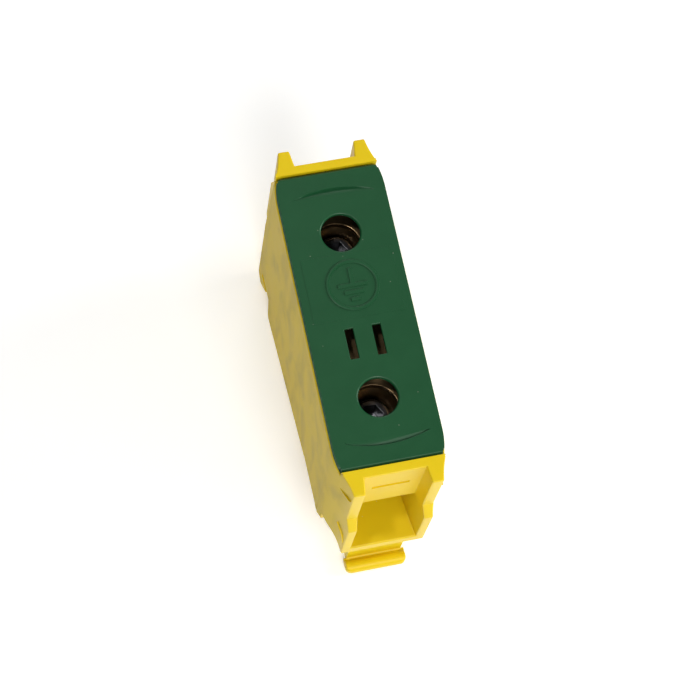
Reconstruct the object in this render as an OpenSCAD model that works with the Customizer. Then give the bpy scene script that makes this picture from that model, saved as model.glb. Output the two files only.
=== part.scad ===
// Single-pole earth terminal block for a 35 mm mounting rail.
// A moulded housing holds a through-bored connector bar, two hex-socket clamp screws
// press the conductors into the bar, and a snap-in cover closes the top.
//
// X runs across the block and along the rail, Y runs along the conductors, Z is up.
// The origin is on the ground under the middle of the block's whole length and width.

/* [Housing] */
// Width across the flat side walls
body_w = 20.5; // [19:0.1:26]
// Length over the mouths of the two wire entries
body_l = 70.2; // [69:0.2:84]
// Height of the corner posts above the ground
body_h = 48.5; // [48:0.5:60]
// Thickness of the side walls beside the bar
side_t = 2.25; // [1.8:0.05:3]
// Thickness of the upright wall at each end of the cover
end_t = 1.7; // [1.2:0.1:2.4]
// How far each side draws in towards the mouth
draw_in = 2.25; // [1:0.05:2.4]
// Length over which the sides draw in
draw_l = 11.8; // [8:0.2:13]
// How far the upper part of the mouth stands back from the lower part
mouth_step = 1.9; // [1:0.1:2.4]

/* [Wire entry] */
// Height of the entry floor above the ground
entry_floor_z = 17.2; // [16.8:0.1:18]
// Clear height of the wire entry
entry_h = 13.4; // [12:0.1:15]
// Clear width of the entry at its mouth
mouth_w = 12.6; // [11.6:0.1:13.4]
// Clear width of the entry where it meets the bar
throat_w = 9.9; // [9:0.1:11]
// Thickness of the floor under the wire entry
entry_floor_t = 3; // [2.4:0.1:3.4]
// Width of the engraved dash on each end wall
dash_w = 7; // [4:0.5:9]
// Height of the engraved dash
dash_h = 1.2; // [0.8:0.1:2]
// Depth of the engraved dash
dash_d = 0.5; // [0.3:0.1:0.8]

/* [Cover] */
// Length of the cover
cover_l = 56.4; // [54:0.2:58]
// How far the cover's edge stands inside the housing's side faces
cover_inset = 0.25; // [0.15:0.05:0.5]
// Thickness of the cover plate
cover_t = 2; // [1.6:0.1:2.4]
// How far the corner posts stand above the cover
post_proud = 0.3; // [0.1:0.1:0.8]
// Gap between the cover's ends and the end walls
cover_gap = 0.25; // [0.15:0.05:0.5]
// Radius of the screwdriver holes
access_r = 3.58; // [3:0.02:3.8]
// Distance between the two clamp screws
screw_pitch = 31.8; // [29:0.2:34]
// Width of each test slot
slot_w = 1.6; // [1.2:0.1:2]
// Length of each test slot
slot_l = 5.8; // [4:0.2:7]
// Distance between the centre lines of the two slots
slot_pitch = 5.06; // [4:0.02:6]
// Place of the slots along the cover, measured from its middle
slot_y = -5.28; // [-6:0.02:-4.5]
// Depth of the finger scoops at their outer wall
scoop_d = 0.6; // [0.3:0.1:1]
// Radius of the scoops' curved outer wall
scoop_r = 22; // [16:1:30]

/* [Connector bar] */
// Gap between the bar and each side wall of the housing
bar_clear = 0.2; // [0.1:0.05:0.4]
// Length of the bar
bar_l = 51; // [48:0.5:52]
// Gap between the top of the bar and the cover's skirt
bar_headroom = 1.7; // [1:0.1:3]
// Radius of the conductor bore
bore_r = 4.7; // [4:0.05:4.8]
// Height of the conductor bore's axis above the bar's underside
bore_up = 8; // [7.4:0.1:8.6]

/* [Clamp screw] */
// Nominal radius of the clamp screws
screw_r = 3.95; // [3.7:0.01:4.2]
// Radial clearance of a clamp screw in its tapped hole
screw_clear = 0.05; // [0.02:0.01:0.1]
// Length of a clamp screw
screw_l = 7.5; // [6.5:0.1:8]
// Width across the flats of the hexagon socket
socket_af = 4; // [3:0.5:5]
// Depth of the hexagon socket
socket_d = 4.5; // [3:0.5:5]
// How far the far screw's top stands below the top of the bar
far_screw_down = 3; // [0:0.1:4.5]
// How far the near screw's top stands below the top of the bar
near_screw_down = 4.5; // [0:0.1:4.5]

/* [Rail foot] */
// Width of the mounting rail
rail_w = 35; // [34.5:0.1:35.5]
// Clear width of the channel in the rail
rail_channel = 25; // [24:0.1:26]
// Thickness of the rail's flanges
rail_t = 1; // [0.9:0.1:1.2]
// Height of the rail's seat above the ground
seat_z = 6.2; // [5.8:0.1:6.6]
// Place of the rail's centre line, measured from the middle between the entries
rail_y = 7.8; // [7.4:0.1:8.2]
// How far the fixed claw reaches under the rail's flange
claw_reach = 3.1; // [2.5:0.1:3.5]
// Place of the claw's outer face, measured from the middle between the entries
claw_y = 29; // [28.6:0.1:30]
// Clearance round the rail's flange
rail_clear = 0.3; // [0.2:0.05:0.4]
// Height of the side walls' bottom edge behind the rail
sill_z = 9.3; // [8.8:0.1:9.8]
// Width of the latch tongue
latch_w = 10.8; // [9:0.2:12]
// Thickness of the latch tongue's upright leaf
leaf_t = 1.6; // [1.2:0.1:2]
// Thickness of the latch tongue's lower arm
arm_t = 2.8; // [2.2:0.1:3.2]
// Radius of the bead along the release tab
bead_r = 1.3; // [1:0.1:1.5]
// How far the release tab reaches past the wire entry
tab_reach = 1.3; // [0.6:0.1:2]

/* [Hidden] */
$fn = 72;
big_fn = 200;
eps = 0.02;

yellow = [0.86, 0.75, 0.20];
green = [0.14, 0.31, 0.21];
tin = [0.74, 0.74, 0.72];
steel = [0.46, 0.47, 0.48];

// Levels, from the ground up.
floor_under_z = entry_floor_z - entry_floor_t;
foot_top_z = floor_under_z + 1;
bore_z = entry_floor_z + entry_h / 2;
bar_z = bore_z - bore_up;
entry_roof_z = entry_floor_z + entry_h;
mouth_step_lo_z = entry_roof_z - 0.5;
mouth_step_hi_z = mouth_step_lo_z + 3;
cover_top_z = body_h - post_proud;
rim_z = cover_top_z - cover_t;
cover_skirt_h = 3.6;
skirt_z = rim_z - cover_skirt_h;
bar_top_z = skirt_z - bar_headroom;
bar_h = bar_top_z - bar_z;

// Places along Y, before the whole block is centred.
mouth_y = body_l / 2;
post_y = mouth_y - mouth_step;
end_wall_y = cover_l / 2 + cover_gap;
end_face_y = end_wall_y + end_t;
bar_end_gap = 0.7;
cavity_y = bar_l / 2 + bar_end_gap;
draw_end_y = mouth_y + 0.3;
draw_start_y = draw_end_y - draw_l;
centre_shift = tab_reach / 2;

// Places along X.
body_x = body_w / 2;
cavity_x = body_x - side_t;
bar_w = 2 * (cavity_x - bar_clear);

// Radius of the two equal arcs that make each side's drawn-in curve.
draw_r = (pow(draw_l / 2, 2) + pow(draw_in / 2, 2)) / draw_in;

// The rail and what holds it.
rail_far_y = rail_y + rail_w / 2;
rail_near_y = rail_y - rail_w / 2;
channel_far_y = rail_y + rail_channel / 2;
claw_tip_y = rail_far_y - claw_reach;
claw_top_z = seat_z - rail_t - rail_clear;
claw_r = 3;
claw_corner_r = 1;
shoulder_x = [body_x, body_x - 0.25, body_x - 0.55, body_x - 0.85];
shoulder_z = [24, 34, 41, body_h];
skirt_lean = 1;
skirt_far_y = channel_far_y - 0.2;
skirt_near_y = -13.5;
skirt_step = 0.4;
sill_near_y = -26.8;
sill_r = 1.7;
rib_t = 2;
seat_rib_y = rail_near_y + rail_clear + 1;

// The latch tongue.
tab_front_y = -(mouth_y + tab_reach);
bead_y = tab_front_y + bead_r;
leaf_y = -(mouth_y - 1.8);
tab_w = latch_w + 1.1;
tab_corner_r = 1.2;
tab_t = 1.7;
hook_reach = 2.5;
hook_h = 3.4;

// The cover's skirt and its snap ridge.
skirt_t = 1.2;
skirt_gap = 0.15;
snap_l = 20;
snap_out = 0.35;
snap_h = 1;
end_bevel = 0.4;
hole_bevel = 0.25;
scoop_apex = cover_l / 2 - 3.5;
scoop_run = 1.7;

bar_chamfer = 0.6;
bore_bevel = 0.8;
thread_bevel = 0.5;
screw_chamfer = 0.6;

module centred() {
    translate([0, centre_shift, 0]) children();
}

module both_ends() {
    children();
    mirror([0, 1, 0]) children();
}

module both_sides() {
    children();
    mirror([1, 0, 0]) children();
}

// Extrudes a side view, drawn as (Y, Z), to a width centred on X.
module across(width) {
    rotate([90, 0, 90]) linear_extrude(height = width, center = true) children();
}

// What one corner of the plan loses to the drawn-in curve, for an outline set in by inset.
module corner_loss(inset) {
    half_rise = draw_in / 2;
    meet_y = draw_start_y + (draw_r - inset) * (draw_l / 2) / draw_r;
    translate([body_x - draw_in + draw_r, draw_end_y]) circle(draw_r + inset, $fn = big_fn);
    difference() {
        translate([body_x - draw_in, draw_start_y])
            square([draw_in + 1, meet_y - draw_start_y]);
        translate([body_x - draw_r, draw_start_y]) circle(draw_r - inset, $fn = big_fn);
    }
}

// The block's outline from above, set in by inset and cut to a length.
module plan_outline(inset, length) {
    difference() {
        square([body_w - 2 * inset, length], center = true);
        both_ends() both_sides() corner_loss(inset);
    }
}

// Side view of the housing above the rail foot.
module upper_profile() {
    polygon([
        [-mouth_y, floor_under_z], [mouth_y, floor_under_z],
        [mouth_y, mouth_step_lo_z], [post_y, mouth_step_hi_z],
        [post_y, body_h], [end_wall_y, body_h], [end_wall_y, rim_z],
        [-end_wall_y, rim_z], [-end_wall_y, body_h], [-post_y, body_h],
        [-post_y, mouth_step_hi_z], [-mouth_y, mouth_step_lo_z]
    ]);
}

// Side view of the fixed claw, with its slot for the rail's flange.
module claw_profile() {
    difference() {
        union() {
            translate([skirt_far_y, claw_r])
                square([claw_y - skirt_far_y, foot_top_z - claw_r]);
            translate([skirt_far_y, 0]) square([claw_y - claw_r - skirt_far_y, claw_r]);
            translate([claw_y - claw_r, claw_r]) circle(claw_r);
        }
        translate([skirt_far_y - 1, claw_top_z])
            square([rail_far_y + rail_clear - skirt_far_y + 1, seat_z - claw_top_z]);
        polygon([
            [skirt_far_y - 1, -1], [claw_y - claw_r + 1, -1], [claw_y - claw_r, 0],
            [claw_tip_y, claw_top_z - 0.3], [claw_tip_y, claw_top_z],
            [skirt_far_y - 1, claw_top_z]
        ]);
    }
}

// Side view of one side wall's skirt, which dips into the rail's channel
// and slopes up so that the block can be swung onto the rail.
module skirt_profile() {
    polygon([
        [skirt_far_y, foot_top_z], [skirt_far_y, seat_z],
        [skirt_far_y - skirt_lean, 0.6], [skirt_far_y - skirt_lean - 0.6, 0],
        [skirt_near_y, sill_z - skirt_step], [skirt_near_y, sill_z],
        [sill_near_y + sill_r, sill_z], [sill_near_y, sill_z + sill_r],
        [sill_near_y, foot_top_z]
    ]);
}

// What lies behind the claw's end, seen from above, with rounded corners.
module claw_plan() {
    difference() {
        translate([-body_x, -mouth_y]) square([body_w, mouth_y + claw_y]);
        both_sides() difference() {
            translate([body_x - claw_corner_r, claw_y - claw_corner_r]) square(claw_corner_r + 1);
            translate([body_x - claw_corner_r, claw_y - claw_corner_r]) circle(claw_corner_r);
        }
    }
}

// Shoulders that carry the claw's full width up the far end and fade out towards the top.
module shoulders() {
    intersection() {
        translate([0, end_face_y, 0]) rotate([90, 0, 0])
            linear_extrude(height = end_face_y - skirt_far_y) polygon([
                [-shoulder_x[0], floor_under_z], [shoulder_x[0], floor_under_z],
                [shoulder_x[0], shoulder_z[0]], [shoulder_x[1], shoulder_z[1]],
                [shoulder_x[2], shoulder_z[2]], [shoulder_x[3], shoulder_z[3]],
                [-shoulder_x[3], shoulder_z[3]], [-shoulder_x[2], shoulder_z[2]],
                [-shoulder_x[1], shoulder_z[1]], [-shoulder_x[0], shoulder_z[0]]
            ]);
        linear_extrude(height = body_h + 1) claw_plan();
        across(body_w) polygon([
            [skirt_far_y, floor_under_z - 1], [claw_y, floor_under_z - 1],
            [claw_y, body_h], [end_wall_y, body_h], [end_wall_y, rim_z], [skirt_far_y, rim_z]
        ]);
    }
}

module foot() {
    intersection() {
        across(body_w) claw_profile();
        translate([0, 0, -1]) linear_extrude(height = body_h) claw_plan();
    }
    // Rib along the middle of the underside, higher where the latch moves below it.
    across(rib_t) polygon([
        [skirt_far_y, seat_z], [skirt_far_y, foot_top_z], [sill_near_y, foot_top_z],
        [sill_near_y, sill_z], [seat_rib_y, sill_z], [seat_rib_y, seat_z]
    ]);
    // Cross rib that rests on the rail's near flange.
    translate([-cavity_x, seat_rib_y, seat_z])
        cube([2 * cavity_x, rib_t, foot_top_z - seat_z]);
    // Cross wall that closes the underside behind the latch.
    translate([-cavity_x, sill_near_y, sill_z + sill_r])
        cube([2 * cavity_x, rib_t, foot_top_z - sill_z - sill_r]);
}

// The latch: an upright leaf under the near entry, an arm to the hook, and the release tab.
module latch() {
    hook_y = rail_near_y - rail_clear;
    across(latch_w) polygon([
        [leaf_y, 0], [hook_y - 0.5, 0], [hook_y + hook_reach, claw_top_z - 0.8],
        [hook_y + hook_reach, claw_top_z], [hook_y, claw_top_z],
        [hook_y, claw_top_z + hook_h], [hook_y - 1.2, claw_top_z + hook_h],
        [hook_y - 3.4, arm_t], [leaf_y + leaf_t, arm_t],
        [leaf_y + leaf_t, foot_top_z], [leaf_y, foot_top_z]
    ]);
    intersection() {
        union() {
            translate([-tab_w / 2, bead_y, 0]) cube([tab_w, leaf_y - bead_y, tab_t]);
            translate([0, bead_y, bead_r]) rotate([0, 90, 0])
                cylinder(h = tab_w, r = bead_r, center = true);
        }
        translate([0, 0, -1]) linear_extrude(height = 2 * bead_r + 2) tab_plan();
    }
}

// The release tab from above, with rounded outer corners.
module tab_plan() {
    difference() {
        translate([-tab_w / 2, tab_front_y]) square([tab_w, leaf_y - tab_front_y]);
        both_sides() difference() {
            translate([tab_w / 2 - tab_corner_r, tab_front_y - 1])
                square([tab_corner_r + 1, tab_corner_r + 1]);
            translate([tab_w / 2 - tab_corner_r, tab_front_y + tab_corner_r])
                circle(tab_corner_r);
        }
    }
}

// The space of one wire entry: flared in plan, open to the mouth and above it.
module entry_space() {
    intersection() {
        across(body_w) polygon([
            [cavity_y - eps, entry_floor_z], [mouth_y + 1, entry_floor_z],
            [mouth_y + 1, body_h + 1], [end_face_y, body_h + 1],
            [end_face_y, entry_roof_z], [cavity_y - eps, entry_roof_z - 1.2]
        ]);
        linear_extrude(height = body_h + 1) polygon([
            [-throat_w / 2, cavity_y - 1], [throat_w / 2, cavity_y - 1],
            [mouth_w / 2, mouth_y], [mouth_w / 2 + 0.2, mouth_y + 1],
            [-mouth_w / 2 - 0.2, mouth_y + 1], [-mouth_w / 2, mouth_y]
        ]);
    }
}

module end_dash() {
    dash_z = (entry_roof_z + body_h) / 2 + 0.9;
    translate([-dash_w / 2, end_face_y - dash_d, dash_z - dash_h / 2])
        cube([dash_w, dash_d + 1, dash_h]);
}

// The groove in each side wall that the cover's ridge snaps into.
module snap_groove() {
    groove_h = snap_h + 0.4;
    translate([cavity_x - eps, -snap_l / 2 - 0.3, skirt_z])
        cube([snap_out + 0.1 + eps, snap_l + 0.6, groove_h]);
}

module housing() {
    color(yellow) centred() difference() {
        union() {
            intersection() {
                union() {
                    across(body_w) upper_profile();
                    both_sides() translate([body_x - side_t / 2, 0, 0])
                        across(side_t) skirt_profile();
                }
                translate([0, 0, -1]) linear_extrude(height = body_h + 2)
                    plan_outline(0, body_l);
            }
            shoulders();
            foot();
            latch();
        }
        translate([-cavity_x, -cavity_y, bar_z])
            cube([2 * cavity_x, 2 * cavity_y, body_h]);
        both_ends() entry_space();
        both_ends() end_dash();
        both_sides() snap_groove();
    }
}

// One finger scoop: a curved wall at its outer side, and a floor that slopes up to nothing.
module finger_scoop() {
    tilt = atan(scoop_d / scoop_run);
    translate([0, scoop_apex - scoop_r, 0]) intersection() {
        translate([0, 0, cover_top_z - 2]) cylinder(h = 4, r = scoop_r, $fn = big_fn);
        translate([0, scoop_r - scoop_run, cover_top_z]) rotate([-tilt, 0, 0])
            translate([-scoop_r, 0, 0]) cube([2 * scoop_r, 2 * scoop_run, 2]);
    }
}

module cover_skirt() {
    outer_x = cavity_x - skirt_gap;
    outer_y = cavity_y - skirt_gap;
    difference() {
        translate([-outer_x, -outer_y, skirt_z])
            cube([2 * outer_x, 2 * outer_y, cover_skirt_h + eps]);
        translate([-outer_x + skirt_t, -outer_y + skirt_t, skirt_z - 1])
            cube([2 * (outer_x - skirt_t), 2 * (outer_y - skirt_t), cover_skirt_h + 1]);
    }
    // Snap ridge, wedge-shaped so that it slides past the wall.
    both_sides() translate([outer_x, 0, skirt_z + 0.2])
        rotate([90, 0, 0]) linear_extrude(height = snap_l, center = true)
            polygon([[-eps, 0], [snap_out, snap_h - 0.2], [snap_out, snap_h], [-eps, snap_h]]);
}

module cover() {
    color(green) centred() difference() {
        union() {
            intersection() {
                across(body_w) polygon([
                    [-cover_l / 2, rim_z], [cover_l / 2, rim_z],
                    [cover_l / 2, cover_top_z - end_bevel],
                    [cover_l / 2 - end_bevel, cover_top_z],
                    [-cover_l / 2 + end_bevel, cover_top_z],
                    [-cover_l / 2, cover_top_z - end_bevel]
                ]);
                linear_extrude(height = body_h) plan_outline(cover_inset, cover_l);
            }
            cover_skirt();
        }
        both_ends() translate([0, screw_pitch / 2, 0]) {
            translate([0, 0, rim_z - 1]) cylinder(h = cover_t + 2, r = access_r);
            translate([0, 0, cover_top_z - hole_bevel])
                cylinder(h = 2 * hole_bevel, r1 = access_r, r2 = access_r + 2 * hole_bevel);
        }
        both_sides() translate([slot_pitch / 2 - slot_w / 2, slot_y - slot_l / 2, rim_z - 1])
            cube([slot_w, slot_l, cover_t + 2]);
        both_ends() finger_scoop();
    }
}

module connector_bar() {
    color(tin) centred() difference() {
        translate([0, 0, bar_z]) rotate([90, 0, 0])
            linear_extrude(height = bar_l, center = true) polygon([
                [-bar_w / 2 + bar_chamfer, 0], [bar_w / 2 - bar_chamfer, 0],
                [bar_w / 2, bar_chamfer], [bar_w / 2, bar_h - bar_chamfer],
                [bar_w / 2 - bar_chamfer, bar_h], [-bar_w / 2 + bar_chamfer, bar_h],
                [-bar_w / 2, bar_h - bar_chamfer], [-bar_w / 2, bar_chamfer]
            ]);
        translate([0, 0, bore_z]) rotate([90, 0, 0])
            cylinder(h = bar_l + 2, r = bore_r, center = true);
        both_ends() translate([0, bar_l / 2 + eps, bore_z]) rotate([90, 0, 0])
            cylinder(h = bore_bevel, r1 = bore_r + bore_bevel, r2 = bore_r);
        both_ends() translate([0, screw_pitch / 2, 0]) {
            translate([0, 0, bore_z])
                cylinder(h = bar_h, r = screw_r + screw_clear);
            translate([0, 0, bar_top_z - thread_bevel])
                cylinder(h = thread_bevel + eps, r1 = screw_r + screw_clear,
                         r2 = screw_r + screw_clear + thread_bevel);
        }
    }
}

// A headless clamp screw, set down into the bar from the bar's top.
module clamp_screw(down) {
    translate([0, 0, bar_top_z - down - screw_l]) difference() {
        rotate_extrude() polygon([
            [0, 0], [screw_r - screw_chamfer, 0], [screw_r, screw_chamfer],
            [screw_r, screw_l - screw_chamfer], [screw_r - screw_chamfer, screw_l],
            [0, screw_l]
        ]);
        translate([0, 0, screw_l - socket_d])
            cylinder(h = socket_d + 1, r = socket_af / 2 / cos(30), $fn = 6);
    }
}

module clamp_screw_far() {
    color(steel) centred() translate([0, screw_pitch / 2, 0]) clamp_screw(far_screw_down);
}

module clamp_screw_near() {
    color(steel) centred() translate([0, -screw_pitch / 2, 0]) clamp_screw(near_screw_down);
}

housing();
cover();
connector_bar();
clamp_screw_far();
clamp_screw_near();
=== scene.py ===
# %% [markdown]
# # Dressing an earth terminal block
#
# The part is a feed-through terminal block for the earth conductors of a switchboard: a moulded
# yellow housing with a funnel at each end, a green snap-in cover, a metal connector bar inside
# and two clamp screws. The CAD frame already holds every solid at its true size. This lesson
# turns those sharp-edged solids into what a moulding press and a lathe would leave: softened
# corners, threads, an embossed sign and plastics and metals with their own surface.

# %% The frame and the CAD box
import math
from collections import defaultdict

import bpy
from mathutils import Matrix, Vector


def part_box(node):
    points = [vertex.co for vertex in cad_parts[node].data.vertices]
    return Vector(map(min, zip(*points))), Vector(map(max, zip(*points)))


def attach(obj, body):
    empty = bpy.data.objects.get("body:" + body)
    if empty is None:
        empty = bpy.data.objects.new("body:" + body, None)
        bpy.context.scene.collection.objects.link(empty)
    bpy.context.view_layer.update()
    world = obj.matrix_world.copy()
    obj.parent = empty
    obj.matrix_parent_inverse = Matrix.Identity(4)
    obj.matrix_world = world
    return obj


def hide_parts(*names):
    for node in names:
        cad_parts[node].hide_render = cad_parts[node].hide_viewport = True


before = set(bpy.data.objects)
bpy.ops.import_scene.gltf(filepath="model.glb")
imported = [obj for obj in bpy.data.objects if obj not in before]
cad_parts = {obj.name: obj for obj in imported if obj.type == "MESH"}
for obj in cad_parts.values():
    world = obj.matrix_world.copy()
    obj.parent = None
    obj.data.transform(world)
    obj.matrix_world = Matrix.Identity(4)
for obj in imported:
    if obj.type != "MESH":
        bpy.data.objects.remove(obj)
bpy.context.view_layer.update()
MM = 0.001
print("CAD nodes:", sorted(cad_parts))

# %% [markdown]
# ## The camera
#
# The block stands on its foot and is looked at steeply from above, a little from the left, with a
# long lens. The place, the turn and the lens were worked out from the cover's four corners, the
# two round holes and the funnel's edges, whose true places are known from the CAD.

# %% Camera
bpy.ops.object.camera_add(
    location=(-0.0647153, -0.1269479, 0.4353678),
    rotation=(math.radians(18.6858), math.radians(-5.10329), math.radians(-12.21665)),
)
camera = bpy.context.object
camera.name = "camera"
camera.data.sensor_width = 36
camera.data.lens = 118.2857
camera.data.clip_start = 0.01
bpy.context.scene.camera = camera
print("camera at", [round(v, 4) for v in camera.location], "lens", camera.data.lens)

# %% [markdown]
# ## Floor and light
#
# A product table: a white floor that glows a little, as a light table does, so that the shadows
# on it stay thin, five soft boxes, and a small lamp above whose glints show in the screw holes.
# The two strong boxes stand in front and to the right, so the faces turned to the near end are
# the brightest and the tops come next. The left side is lit mostly by the floor.

# %% Floor
bpy.ops.mesh.primitive_plane_add(size=6, location=(0, 0, 0))
floor = bpy.context.object
floor.name = "floor"
print("floor:", floor.name)

# %% Soft boxes
MIDDLE = Vector((0, 0, 0.025))
ROOM_GLOW = 0.04


def soft_box(name, place, size, power):
    """A square area lamp that faces the middle of the block, in metres and watts."""
    bpy.ops.object.light_add(type="AREA", location=place)
    lamp = bpy.context.object
    lamp.name = name
    lamp.rotation_euler = (MIDDLE - Vector(place)).to_track_quat("-Z", "Y").to_euler()
    lamp.data.size = size
    lamp.data.energy = power


soft_box("near_box", (0.00, -0.55, 0.60), 0.40, 3.7)
soft_box("near_right_box", (0.45, -0.60, 0.35), 0.40, 0.9)
soft_box("right_box", (0.75, 0.00, 0.35), 0.40, 3.9)
soft_box("far_box", (0.10, 0.70, 0.40), 0.40, 1.2)
soft_box("top_box", (0.00, 0.35, 0.75), 0.30, 0.30)
soft_box("glint_box", (-0.20, -0.02, 0.75), 0.04, 0.95)

world = bpy.data.worlds.new("studio")
world.use_nodes = True
world.node_tree.nodes["Background"].inputs["Color"].default_value = (1, 1, 1, 1)
world.node_tree.nodes["Background"].inputs["Strength"].default_value = ROOM_GLOW
bpy.context.scene.world = world
bpy.context.scene.view_settings.view_transform = "Standard"

# %% [markdown]
# ## Working on one object at a time
#
# Blender's operators act on whatever is selected, so before each job everything else is put
# down. The second helper selects points, edges or faces by where they are and which way they
# look, which is how they are picked in code where a hand would click on them.

# %% Helpers for selecting
ELEMENTS = {"VERT": "vertices", "EDGE": "edges", "FACE": "polygons"}


def take(obj):
    """Selects one object and nothing else."""
    if bpy.context.object and bpy.context.object.mode != "OBJECT":
        bpy.ops.object.mode_set(mode="OBJECT")
    bpy.ops.object.select_all(action="DESELECT")
    obj.select_set(True)
    bpy.context.view_layer.objects.active = obj


def pick(obj, kind, test):
    """Goes into edit mode with only the points, edges or faces selected that pass the test."""
    take(obj)
    bpy.ops.object.mode_set(mode="EDIT")
    bpy.ops.mesh.select_mode(type=kind)
    bpy.ops.mesh.select_all(action="DESELECT")
    bpy.ops.object.mode_set(mode="OBJECT")
    for element in getattr(obj.data, ELEMENTS[kind]):
        element.select = bool(test(element))
    bpy.ops.object.mode_set(mode="EDIT")


# %% [markdown]
# Primitives are the other thing that repeats. Each helper adds one with nothing else selected.

# %% Helpers for primitives
def new_cube(size, place):
    """A cube round a place."""
    bpy.ops.object.select_all(action="DESELECT")
    bpy.ops.mesh.primitive_cube_add(size=size, location=place)
    return bpy.context.object


def new_box(sizes, place):
    """A box of three sizes round a place, both kept in its mesh."""
    box = new_cube(1, place)
    box.scale = sizes
    bpy.ops.object.transform_apply(location=True, rotation=True, scale=True)
    return box


def new_cylinder(radius, depth, place, vertices):
    """An upright cylinder round a place."""
    bpy.ops.object.select_all(action="DESELECT")
    bpy.ops.mesh.primitive_cylinder_add(vertices=vertices, radius=radius, depth=depth,
                                        location=place)
    return bpy.context.object


# %% Helpers for finishing a piece
SMOOTH_ANGLE = math.radians(32)


def apply_modifier(obj, kind, **settings):
    """Adds one modifier with its settings and applies it."""
    take(obj)
    bpy.ops.object.modifier_add(type=kind)
    modifier = obj.modifiers[-1]
    for key, value in settings.items():
        setattr(modifier, key, value)
    bpy.ops.object.modifier_apply(modifier=modifier.name)


def bevel(obj, width, angle):
    """Rounds every edge sharper than the angle, in degrees. The width is in mm."""
    apply_modifier(obj, "BEVEL", width=width * MM, segments=2, limit_method="ANGLE",
                   angle_limit=math.radians(angle))


def subtract(obj, plug_shape):
    """Cuts the plug out of the object and throws the plug away."""
    apply_modifier(obj, "BOOLEAN", object=plug_shape, operation="DIFFERENCE", solver="EXACT")
    take(plug_shape)
    bpy.ops.object.delete()


def settle(obj):
    """Moves the object's place into its mesh and smooths it, with the large faces kept flat."""
    take(obj)
    bpy.ops.object.transform_apply(location=True, rotation=True, scale=True)
    bpy.ops.object.shade_smooth_by_angle(angle=SMOOTH_ANGLE)
    apply_modifier(obj, "WEIGHTED_NORMAL", mode="FACE_AREA", weight=100, keep_sharp=True)


def report(obj):
    """Prints how many faces a piece has and where it lies."""
    low = [min(v.co[i] for v in obj.data.vertices) / MM for i in range(3)]
    high = [max(v.co[i] for v in obj.data.vertices) / MM for i in range(3)]
    print(f"{obj.name}: {len(obj.data.polygons)} faces,",
          " x ".join(f"{a:.1f}..{b:.1f}" for a, b in zip(low, high)), "mm")


# %% [markdown]
# ## Softened mouldings
#
# A mould is milled with a cutter that leaves a small radius, and hot plastic never quite fills a
# knife-sharp corner, so every edge of the housing and the cover is slightly round and catches a
# thin line of light. A merged copy of each CAD solid is taken and its flat triangles are
# dissolved into whole faces. The Bevel modifier then rounds the edges that carry a bevel weight,
# and a weight is only given where the radius has room: at a corner between two short edges it
# would fold the mesh over itself.

# %% A merged copy of a CAD solid
SEAM = 0.002 * MM
SLIVER = 0.03 * MM
FLAT_ANGLE = math.radians(0.6)


def merged_copy(name, node):
    """A copy of a CAD node with its triangles joined and its flat faces whole."""
    obj = bpy.data.objects.new(name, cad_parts[node].data.copy())
    bpy.context.collection.objects.link(obj)
    obj.data.materials.clear()
    take(obj)
    bpy.ops.object.mode_set(mode="EDIT")
    bpy.ops.mesh.select_all(action="SELECT")
    bpy.ops.mesh.remove_doubles(threshold=SEAM)
    bpy.ops.mesh.dissolve_limited(angle_limit=FLAT_ANGLE)
    bpy.ops.mesh.select_all(action="SELECT")
    bpy.ops.mesh.remove_doubles(threshold=SLIVER)
    bpy.ops.object.mode_set(mode="OBJECT")
    return obj


# %% Which edges have room for a radius
SHARP_ANGLE = math.radians(25)
CORNER_ANGLE = math.radians(35)


def edges_with_room(obj, room):
    """The vertex pairs of the sharp edges whose corners leave that much room, in mm.

    Where two sharp edges turn less than CORNER_ANGLE they run on as one line, with no corner.
    """
    normals = defaultdict(list)
    for face in obj.data.polygons:
        for pair in face.edge_keys:
            normals[pair].append(face.normal)
    place = [v.co for v in obj.data.vertices]
    sharp = {pair for pair, n in normals.items()
             if len(n) == 2 and n[0].angle(n[1], 0) > SHARP_ANGLE}
    meets = defaultdict(list)
    for one, two in sharp:
        meets[one].append(two)
        meets[two].append(one)

    def has_room(pair):
        for end, start in (pair, pair[::-1]):
            along = place[end] - place[start]
            for other in meets[end]:
                side = place[other] - place[end]
                if (other != start and along.angle(side) > CORNER_ANGLE
                        and min(along.length, side.length) < room * MM):
                    return False
        return True

    return {pair for pair in sharp if has_room(pair)}


# %% Rounding the edges of a moulding
def soften(obj, radius, room):
    """Rounds the sharp edges of a moulding to the radius, in mm, where there is room for it."""
    chosen = edges_with_room(obj, room)
    pick(obj, "EDGE", lambda edge: tuple(sorted(edge.vertices)) in chosen)
    bpy.ops.transform.edge_bevelweight(value=1)
    bpy.ops.object.mode_set(mode="OBJECT")
    apply_modifier(obj, "BEVEL", width=radius * MM, segments=2, limit_method="WEIGHT",
                   use_clamp_overlap=False)
    settle(obj)
    print(obj.name, "rounded edges:", len(chosen))


housing_shell = merged_copy("housing_shell", "housing")
soften(housing_shell, radius=0.3, room=0.65)
report(housing_shell)

# %% [markdown]
# ## Ribs on the drawn-in walls
#
# Where the side walls draw in towards the funnels, the mould has two short ribs that stiffen the
# thin wall. Each is a small square that is extruded from point to point along the wall.

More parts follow.
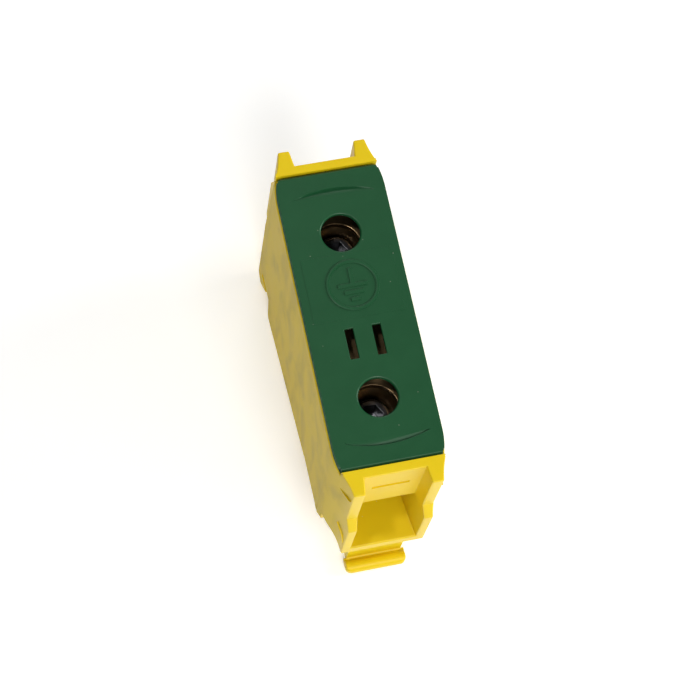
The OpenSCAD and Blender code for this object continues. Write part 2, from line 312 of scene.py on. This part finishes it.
# %% A rib along the wall
def wall_rib(name, points, wide):
    """A square rib through a list of points in mm."""
    start = Vector(points[0]) * MM
    bpy.ops.object.select_all(action="DESELECT")
    bpy.ops.mesh.primitive_plane_add(size=wide * MM, location=start,
                                     rotation=(math.radians(90), 0, 0))
    rib = bpy.context.object
    rib.name = name
    bpy.ops.object.transform_apply(location=True, rotation=True, scale=True)
    bpy.ops.object.mode_set(mode="EDIT")
    bpy.ops.mesh.select_mode(type="FACE")
    bpy.ops.mesh.select_all(action="SELECT")
    for one, two in zip(points, points[1:]):
        bpy.ops.mesh.extrude_region_move(
            TRANSFORM_OT_translate={"value": (Vector(two) - Vector(one)) * MM})
    bpy.ops.mesh.select_all(action="SELECT")
    bpy.ops.mesh.normals_make_consistent(inside=False)
    bpy.ops.object.mode_set(mode="OBJECT")
    bevel(rib, width=0.09, angle=40)
    settle(rib)
    return rib


# %% Ribs at the near end, left and right
RIB_WIDE = 0.34
UPPER_RIB = [(9.40, -27.0, 41.4), (9.13, -28.4, 40.8), (8.79, -30.2, 42.2), (8.40, -32.2, 44.1)]
LOWER_RIB = [(8.72, -30.6, 24.4), (8.24, -33.1, 23.2), (8.09, -33.9, 20.9)]
ribs = []
for side, sign in (("left", -1), ("right", 1)):
    for level, line in (("upper", UPPER_RIB), ("lower", LOWER_RIB)):
        points = [(sign * x, y, z) for x, y, z in line]
        ribs.append(wall_rib(f"rib_{level}_{side}", points, RIB_WIDE))
        report(ribs[-1])

# %% [markdown]
# ## The cover
#
# Round the screw holes and the test slots the cover's plate is relieved from below, so that only
# a thin lip shows. That keeps the plastic about as thick there as on the skirt, and a mould fills
# evenly. Three plugs of that shape are subtracted from the copy before its edges are rounded.

# %% The cover, relieved from below
LIP = 0.8 * MM
RELIEF_DEEP = 4 * MM
HOLE_RELIEF_R = 4.6 * MM
SLOT_RELIEF_SIZE = (8.4 * MM, 7.4 * MM)
SLOT_RELIEF_Y = -4.63 * MM
SCREW_BOXES = {which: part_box("clamp_screw_" + which) for which in ("far", "near")}

cover_low, cover_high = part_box("cover")
cover_top = cover_high[2]
relief_z = cover_top - LIP - RELIEF_DEEP / 2


def screw_axis(which):
    """The x and y of a screw's middle."""
    low, high = SCREW_BOXES[which]
    return ((low[0] + high[0]) / 2, (low[1] + high[1]) / 2)


cover_shell = merged_copy("cover_shell", "cover")
for which in SCREW_BOXES:
    x, y = screw_axis(which)
    subtract(cover_shell, new_cylinder(HOLE_RELIEF_R, RELIEF_DEEP, (x, y, relief_z), 72))
subtract(cover_shell, new_box((*SLOT_RELIEF_SIZE, RELIEF_DEEP), (0, SLOT_RELIEF_Y, relief_z)))
soften(cover_shell, radius=0.15, room=0.3)

# %% [markdown]
# The plate's four upright corners get a larger radius. They are cut after the edges are rounded,
# because a bevel that runs round so tight a corner folds over itself.

# %% The cover's rounded corners
CORNER_R = 0.9 * MM
CORNER_X = 9.33 * MM
CUBE_SIZE = 2 * MM
CUBE_DOWN = 0.95 * MM
ROUND_DEEP = 4 * MM


def corner_plug(x_side, y_side):
    """What a rounded corner leaves out: a block with a round taken from its inner edge."""
    end_y = cover_high[1] if y_side > 0 else cover_low[1]
    x, y = x_side * (CORNER_X - CORNER_R), end_y - y_side * CORNER_R
    block = new_cube(CUBE_SIZE, (x + x_side * CUBE_SIZE / 2, y + y_side * CUBE_SIZE / 2,
                                 cover_top - CUBE_DOWN))
    subtract(block, new_cylinder(CORNER_R, ROUND_DEEP, (x, y, cover_top - CUBE_SIZE / 2), 64))
    return block


for x_side in (-1, 1):
    for y_side in (-1, 1):
        subtract(cover_shell, corner_plug(x_side, y_side))
settle(cover_shell)
report(cover_shell)

# %% [markdown]
# ## The cover's insert field
#
# Between the far hole and the two test slots the mould has a changeable insert, which leaves a
# hairline step round a rectangle. It is modelled as a plate that stands a few hundredths of a
# millimetre proud of the cover. In the middle it carries the general sign for earth, a ring
# round a stem and three bars, in low relief.

# %% The insert field
FIELD_X = 8.43 * MM
FIELD_Y = (0.0 * MM, 12.45 * MM)
FIELD_PROUD = 0.05 * MM
FIELD_MID = 0.3 * MM

insert_field = new_box(
    (2 * FIELD_X, FIELD_Y[1] - FIELD_Y[0], 2 * (FIELD_MID + FIELD_PROUD)),
    (0, sum(FIELD_Y) / 2, cover_top - FIELD_MID),
)
insert_field.name = "insert_field"
bevel(insert_field, width=0.045, angle=30)
settle(insert_field)
report(insert_field)

# %% The earth sign
SIGN_Y = sum(FIELD_Y) / 2
SIGN_HIGH = 0.2 * MM
SIGN_SUNK = 0.1 * MM
RING_R = 4.9 * MM
RING_WIDE = 0.7 * MM
STEM_AND_BARS = [  # width, length along Y and place along Y from the ring's middle, in mm
    (0.8, 3.1, 1.75),
    (5.6, 0.75, 0.0),
    (3.7, 0.75, -1.35),
    (1.8, 0.75, -2.7),
]
sign_low = cover_top - SIGN_SUNK
sign_top = cover_top + FIELD_PROUD + SIGN_HIGH
sign_mid = (sign_low + sign_top) / 2

sign_parts = [
    new_box((width * MM, length * MM, sign_top - sign_low), (0, SIGN_Y + along * MM, sign_mid))
    for width, length, along in STEM_AND_BARS
]
ring = new_cylinder(RING_R, sign_top - sign_low, (0, SIGN_Y, sign_mid), 96)
bpy.ops.object.transform_apply(location=True, rotation=True, scale=True)
pick(ring, "FACE", lambda face: abs(face.normal.z) > 0.9)
bpy.ops.mesh.inset(thickness=RING_WIDE)
bpy.ops.mesh.bridge_edge_loops()
bpy.ops.object.mode_set(mode="OBJECT")
take(ring)
for part in sign_parts:
    part.select_set(True)
bpy.ops.object.join()
earth_sign = bpy.context.object
earth_sign.name = "earth_sign"
bevel(earth_sign, width=0.09, angle=40)
settle(earth_sign)
report(earth_sign)

# %% [markdown]
# ## Threads
#
# A clamp screw turns in a tapped hole, and the crests of the thread show as thin bright arcs in
# the dark of the hole. A thread is one V-shaped ridge that winds up the wall. It is made as a
# triangle that stands on the wall with its tip pointing to the axis, or away from it on the
# screw, and the Screw modifier turns it round the axis while it climbs one pitch a turn. The two
# open ends are then filled. An M8 thread climbs 1.25 mm a turn.

# %% A thread ridge
PITCH = 1.25 * MM
TURN_STEPS = 64
WELD = 0.0005 * MM


def thread_ridge(name, axis, bottom, turns, root, crest):
    """A helical ridge on a wall of the root radius, with its tip at the crest radius."""
    tip_side = 1 if crest > root else -1
    depth = abs(crest - root)
    # An even-sided triangle as tall as the thread is deep, and then as wide as the pitch.
    triangle_r = depth / 1.5
    widen = PITCH / (triangle_r * math.sqrt(3))
    bpy.ops.object.select_all(action="DESELECT")
    bpy.ops.mesh.primitive_circle_add(
        vertices=3, radius=triangle_r, rotation=(math.radians(90), tip_side * math.radians(90), 0),
        location=(root + tip_side * depth / 3, 0, 0))
    ridge = bpy.context.object
    ridge.name = name
    bpy.ops.object.transform_apply(location=True, rotation=True, scale=True)
    bpy.ops.object.mode_set(mode="EDIT")
    bpy.ops.mesh.select_all(action="SELECT")
    bpy.ops.transform.resize(value=(1, 1, widen), center_override=(0, 0, 0))
    bpy.ops.object.mode_set(mode="OBJECT")
    apply_modifier(ridge, "SCREW", axis="Z", screw_offset=PITCH, iterations=turns,
                   steps=TURN_STEPS, render_steps=TURN_STEPS, use_merge_vertices=True,
                   merge_threshold=WELD)
    take(ridge)
    bpy.ops.object.mode_set(mode="EDIT")
    bpy.ops.mesh.select_all(action="SELECT")
    bpy.ops.transform.translate(value=(*axis, bottom + PITCH / 2))
    bpy.ops.mesh.fill_holes(sides=3)
    bpy.ops.mesh.select_all(action="SELECT")
    bpy.ops.mesh.normals_make_consistent(inside=False)
    bpy.ops.object.mode_set(mode="OBJECT")
    settle(ridge)
    return ridge


# %% The threads in the bar
TAPPED_ROOT = 4.55 * MM
TAPPED_CREST = 4.0 * MM
TAPPED_DOWN = 13.1 * MM
TAPPED_TURNS = 9
bar_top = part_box("connector_bar")[1][2]
tapped_threads = []
for which in SCREW_BOXES:
    ridge = thread_ridge("tapped_thread_" + which, screw_axis(which), bar_top - TAPPED_DOWN,
                         TAPPED_TURNS, TAPPED_ROOT, TAPPED_CREST)
    report(ridge)
    tapped_threads.append(ridge)

# %% [markdown]
# ## The connector bar
#
# The bar is sawn from a drawn profile, bored along its length for the conductors and tapped from
# above. The copy's tapped holes are opened out by a boolean cut, which makes room for the
# threads, and its sawn edges are broken.

# %% The bar with room for its threads
TAPPED_DEEP = 14 * MM
connector_body = merged_copy("connector_body", "connector_bar")
for which in SCREW_BOXES:
    x, y = screw_axis(which)
    subtract(connector_body,
             new_cylinder(TAPPED_ROOT, TAPPED_DEEP, (x, y, bar_top - TAPPED_DEEP / 2), 96))
soften(connector_body, radius=0.15, room=0.4)
report(connector_body)

# %% [markdown]
# ## Clamp screws
#
# A headless screw with a hexagon socket, cold headed and then rolled. The CAD solid has the
# thread's outer radius all the way down. Its copy is thinned to the bottom of the thread with a
# resize about the screw's own axis, its rims are bevelled, and a ridge is wound round it. Only
# the points outside the socket are thinned, so the socket keeps its size.

# %% Threaded screws
SCREW_ROOT = 3.42 * MM
SCREW_CREST = 3.93 * MM
SOCKET_CLEAR = 3.0 * MM
WINDING_UP = 0.5 * MM
WINDING_TURNS = 4
screws = {}
for which, (low, high) in SCREW_BOXES.items():
    x, y = screw_axis(which)
    core = merged_copy("screw_" + which, "clamp_screw_" + which)
    pick(core, "VERT", lambda point: math.hypot(point.co.x - x, point.co.y - y) > SOCKET_CLEAR)
    thinner = SCREW_ROOT / ((high[0] - low[0]) / 2)
    bpy.ops.transform.resize(value=(thinner, thinner, 1), center_override=(x, y, low[2]))
    bpy.ops.object.mode_set(mode="OBJECT")
    bevel(core, width=0.1, angle=35)
    settle(core)
    winding = thread_ridge("winding", (x, y), low[2] + WINDING_UP, WINDING_TURNS,
                           SCREW_ROOT, SCREW_CREST)
    take(core)
    winding.select_set(True)
    bpy.ops.object.join()
    report(core)
    screws[which] = core

# %% [markdown]
# ## Finishes
#
# Each finish is a small network of procedural nodes. The helpers come first: one turns a colour
# as it is written on the web into the linear values that a shader wants, one adds a node with its
# settings and its links, and the rest add the few kinds of node that come up again and again.

# %% Colour and node helpers
def linear(colour):
    """sRGB hex to linear RGBA."""
    channels = [int(colour[i:i + 2], 16) / 255 for i in (1, 3, 5)]
    return tuple(c / 12.92 if c <= 0.04045 else ((c + 0.055) / 1.055) ** 2.4
                 for c in channels) + (1,)


def plug(material, socket, source):
    """Links another node's output to a socket."""
    material.node_tree.links.new(source, socket)


def add(material, kind, links=None, **settings):
    """Adds a node. Settings name its properties or input sockets, links feed its inputs."""
    node = material.node_tree.nodes.new(kind)
    for key, value in settings.items():
        if hasattr(node, key):
            setattr(node, key, value)
        else:
            node.inputs[key.replace("_", " ")].default_value = value
    for socket, source in (links or {}).items():
        plug(material, node.inputs[socket], source)
    return node


def new_material(name):
    """A material, its shader and its coordinates."""
    material = bpy.data.materials.new(name)
    material.use_nodes = True
    shader = material.node_tree.nodes["Principled BSDF"]
    where = add(material, "ShaderNodeTexCoord")
    return material, shader, where.outputs


def noise(material, place, size, **settings):
    """Noise whose lumps are about so many mm across."""
    node = add(material, "ShaderNodeTexNoise", {"Vector": place}, Scale=1 / (size * MM),
               **settings)
    return node.outputs["Fac"]


def map_range(material, value, **ends):
    """Carries a value from one range to another. An end that isn't named is 0 or 1."""
    return add(material, "ShaderNodeMapRange", {"Value": value}, **ends).outputs["Result"]


def calculate(material, operation, *terms):
    """A sum on up to three terms, each a number or another node's output."""
    node = add(material, "ShaderNodeMath", operation=operation)
    for socket, term in zip(node.inputs, terms):
        if isinstance(term, (int, float)):
            socket.default_value = term
        else:
            plug(material, socket, term)
    return node.outputs[0]


def blend_colours(material, factor, low, high):
    """A colour between two, each given as hex or as another node's output."""
    mix = add(material, "ShaderNodeMix", data_type="RGBA")
    plug(material, mix.inputs[0], factor)
    for socket, colour in ((mix.inputs[6], low), (mix.inputs[7], high)):
        if isinstance(colour, str):
            socket.default_value = linear(colour)
        else:
            plug(material, socket, colour)
    return mix.outputs[2]


def roughen(material, shader, height, strength, distance):
    """Feeds a bump of so many mm to the shader."""
    skin = add(material, "ShaderNodeBump", {"Height": height}, Strength=strength,
               Distance=distance * MM)
    plug(material, shader.inputs["Normal"], skin.outputs["Normal"])


# %% [markdown]
# ### Moulded polyamide
#
# The housing and the cover are injection moulded from polyamide 6.6, coloured through. Such a
# moulding is satin, and a light one is a little translucent where it is thin. Its mould was spark
# eroded, which leaves a fine pebble of about 0.15 mm. Handling leaves the outer side walls duller
# than the rest. On the yellow housing their colour also carries painted shade: an even darkening
# and darker patches a few millimetres wide, which stand for smudges and for shade at once. On the
# green cover the patches are lighter smudges only.

# %% Where the outer side walls are
def outer_walls(material, where):
    """1 on the outer side walls and 0 elsewhere, from how far out and which way a point lies."""
    split = add(material, "ShaderNodeSeparateXYZ", {"Vector": where["Object"]})
    sideways = calculate(material, "ABSOLUTE", split.outputs["X"])
    outer = map_range(material, sideways, From_Min=7.5 * MM, From_Max=9 * MM)
    turned = add(material, "ShaderNodeSeparateXYZ", {"Vector": where["Normal"]})
    tilt = calculate(material, "ABSOLUTE", turned.outputs["X"])
    facing = map_range(material, tilt, From_Min=0.75, From_Max=0.95)
    return calculate(material, "MULTIPLY", outer, facing)


# %% Yellow and green polyamide, spark-eroded satin
DUST = "#C9C6B4"
DUST_APART = 2.4


def moulded_plastic(name, base, dark, shade_and_smudge_colour, *, grain, roughness, flank_rough, gloss, bump, side_shade,
                    smudges_and_shade, glow):
    """A plastic moulded in a spark-eroded tool. The grain is in mm."""
    material, shader, where = new_material(name)
    place = where["Object"]

    # The pigment is mixed unevenly by a few percent, over about 6 mm.
    cloud = noise(material, place, 6, Detail=3.0, Roughness=0.55)
    tone = blend_colours(material, cloud, dark, base)

    # Painted shade on the outer side walls: an even darkening, and patches about 5 mm wide and
    # taller than wide that stand for smudges and shade at once. On the green cover the patches are
    # lighter smudges only.
    flank = outer_walls(material, where)
    tall = add(material, "ShaderNodeMapping", {"Vector": place}, Scale=(1, 1, 0.45))
    patches = noise(material, tall.outputs["Vector"], 5, Detail=2.5, Roughness=0.5, Distortion=0.35)
    shade_and_smudge_amount = map_range(material, patches, From_Min=0.45, From_Max=0.80, To_Min=side_shade,
                        To_Max=smudges_and_shade)
    shade_and_smudge_on_walls = calculate(material, "MULTIPLY", shade_and_smudge_amount, flank)
    tone_with_shade_and_smudges = blend_colours(material, shade_and_smudge_on_walls, tone, shade_and_smudge_colour)

    # Specks of pale dust, about 0.15 mm wide, lie a few millimetres apart. The distances are
    # shares of DUST_APART.
    dust = add(material, "ShaderNodeTexVoronoi", {"Vector": place}, Scale=1 / (DUST_APART * MM),
               Randomness=1.0)
    speck = map_range(material, dust.outputs["Distance"], From_Min=0.045, From_Max=0.03,
                      To_Max=0.35)
    plug(material, shader.inputs["Base Color"], blend_colours(material, speck, tone_with_shade_and_smudges, DUST))

    # The tool's pebble shows as a fine grain.
    pebble = noise(material, place, grain, Detail=2.0, Roughness=0.5)
    roughen(material, shader, pebble, bump, 0.02)

    # The sheen changes a little with the pigment, and the outer side walls are duller.
    sheen = map_range(material, cloud, To_Min=roughness - 0.05, To_Max=roughness + 0.06)
    plug(material, shader.inputs["Roughness"],
         calculate(material, "MULTIPLY_ADD", flank, flank_rough, sheen))
    shader.inputs["IOR"].default_value = 1.53
    shader.inputs["Specular IOR Level"].default_value = gloss
    if glow:
        shader.inputs["Subsurface Weight"].default_value = glow
        shader.inputs["Subsurface Radius"].default_value = (1.0, 0.55, 0.12)
        shader.inputs["Subsurface Scale"].default_value = 1.2 * MM
    return material


# The yellow's third colour darkens the outer side walls: painted shade, which also stands for
# smudges.
yellow_polyamide = moulded_plastic("yellow_polyamide", "#EACC12", "#E2C20E", "#86763C",
                                   grain=0.16, roughness=0.40, flank_rough=0.18, gloss=0.26,
                                   bump=0.25, side_shade=0.24, smudges_and_shade=0.56, glow=0.12)
green_polyamide = moulded_plastic("green_polyamide", "#1B5330", "#174A2A", "#3F6B50",
                                  grain=0.14, roughness=0.36, flank_rough=0.50, gloss=0.30,
                                  bump=0.35, side_shade=0.0, smudges_and_shade=0.25, glow=0.0)
print("plastics:", yellow_polyamide.name, green_polyamide.name)

# %% [markdown]
# ### Brass and dark zinc steel
#
# The bar is free-cutting brass, dulled by handling, with the fine lines of the saw and the tap.
# The screws are hardened steel with a dark zinc finish.

# %% Dulled brass and dark zinc steel
def worked_metal(name, bright, dull, roughness, lines):
    """A worked metal with stains and with lines that lie so many mm apart."""
    material, shader, where = new_material(name)
    stretch = add(material, "ShaderNodeMapping", {"Vector": where["Object"]}, Scale=(1, 0.12, 6))
    scratch = noise(material, stretch.outputs["Vector"], lines, Detail=3.0)
    stain = noise(material, where["Object"], 2.5, Detail=4.0, Roughness=0.6)
    plug(material, shader.inputs["Base Color"], blend_colours(material, stain, bright, dull))
    plug(material, shader.inputs["Roughness"],
         map_range(material, scratch, To_Min=roughness - 0.1, To_Max=roughness + 0.12))
    roughen(material, shader, scratch, 0.2, 0.01)
    shader.inputs["Metallic"].default_value = 1.0
    return material


dulled_brass = worked_metal("dulled_brass", "#C4A77C", "#84694A", roughness=0.32, lines=0.6)
dark_zinc_steel = worked_metal("dark_zinc_steel", "#8C8C90", "#4A4A4E", roughness=0.30, lines=0.5)
print("metals:", dulled_brass.name, dark_zinc_steel.name)

# %% [markdown]
# ### The floor
#
# Matt white paper. A trace of unevenness keeps it from looking like a void.

# %% Paper
PAPER_GLOW = 0.30
paper, paper_shader, paper_where = new_material("white_paper")
fibre = noise(paper, paper_where["Object"], 2.5, Detail=2.0)
plug(paper, paper_shader.inputs["Base Color"], blend_colours(paper, fibre, "#F7F7F6", "#FAFAF9"))
paper_shader.inputs["Roughness"].default_value = 0.9
paper_shader.inputs["Emission Color"].default_value = (1, 1, 1, 1)
paper_shader.inputs["Emission Strength"].default_value = PAPER_GLOW
floor.data.materials.append(paper)
print("floor:", paper.name)

# %% [markdown]
# ## Putting the pieces on their bodies
#
# Every piece takes its finish and rides on the body it belongs to, and the CAD solid it was made
# from is hidden, so that the piece shows in its place.

# %% Finishes, bodies and hidden solids
def dress(piece, material, body):
    """Gives a piece its finish and its body."""
    piece.data.materials.clear()
    piece.data.materials.append(material)
    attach(piece, body)


dress(housing_shell, yellow_polyamide, "block")
for rib in ribs:
    dress(rib, yellow_polyamide, "block")
dress(cover_shell, green_polyamide, "block")
dress(insert_field, green_polyamide, "block")
dress(earth_sign, green_polyamide, "block")
dress(connector_body, dulled_brass, "block")
for ridge in tapped_threads:
    dress(ridge, dulled_brass, "block")
for which, screw in screws.items():
    dress(screw, dark_zinc_steel, "screw_" + which)

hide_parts("housing")
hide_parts("cover")
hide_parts("connector_bar")
for which, screw in screws.items():
    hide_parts("clamp_screw_" + which)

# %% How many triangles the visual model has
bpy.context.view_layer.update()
meshes = [o.data for o in bpy.data.objects if o.type == "MESH"]
print("triangles:", sum(len(face.vertices) - 2 for mesh in meshes for face in mesh.polygons))
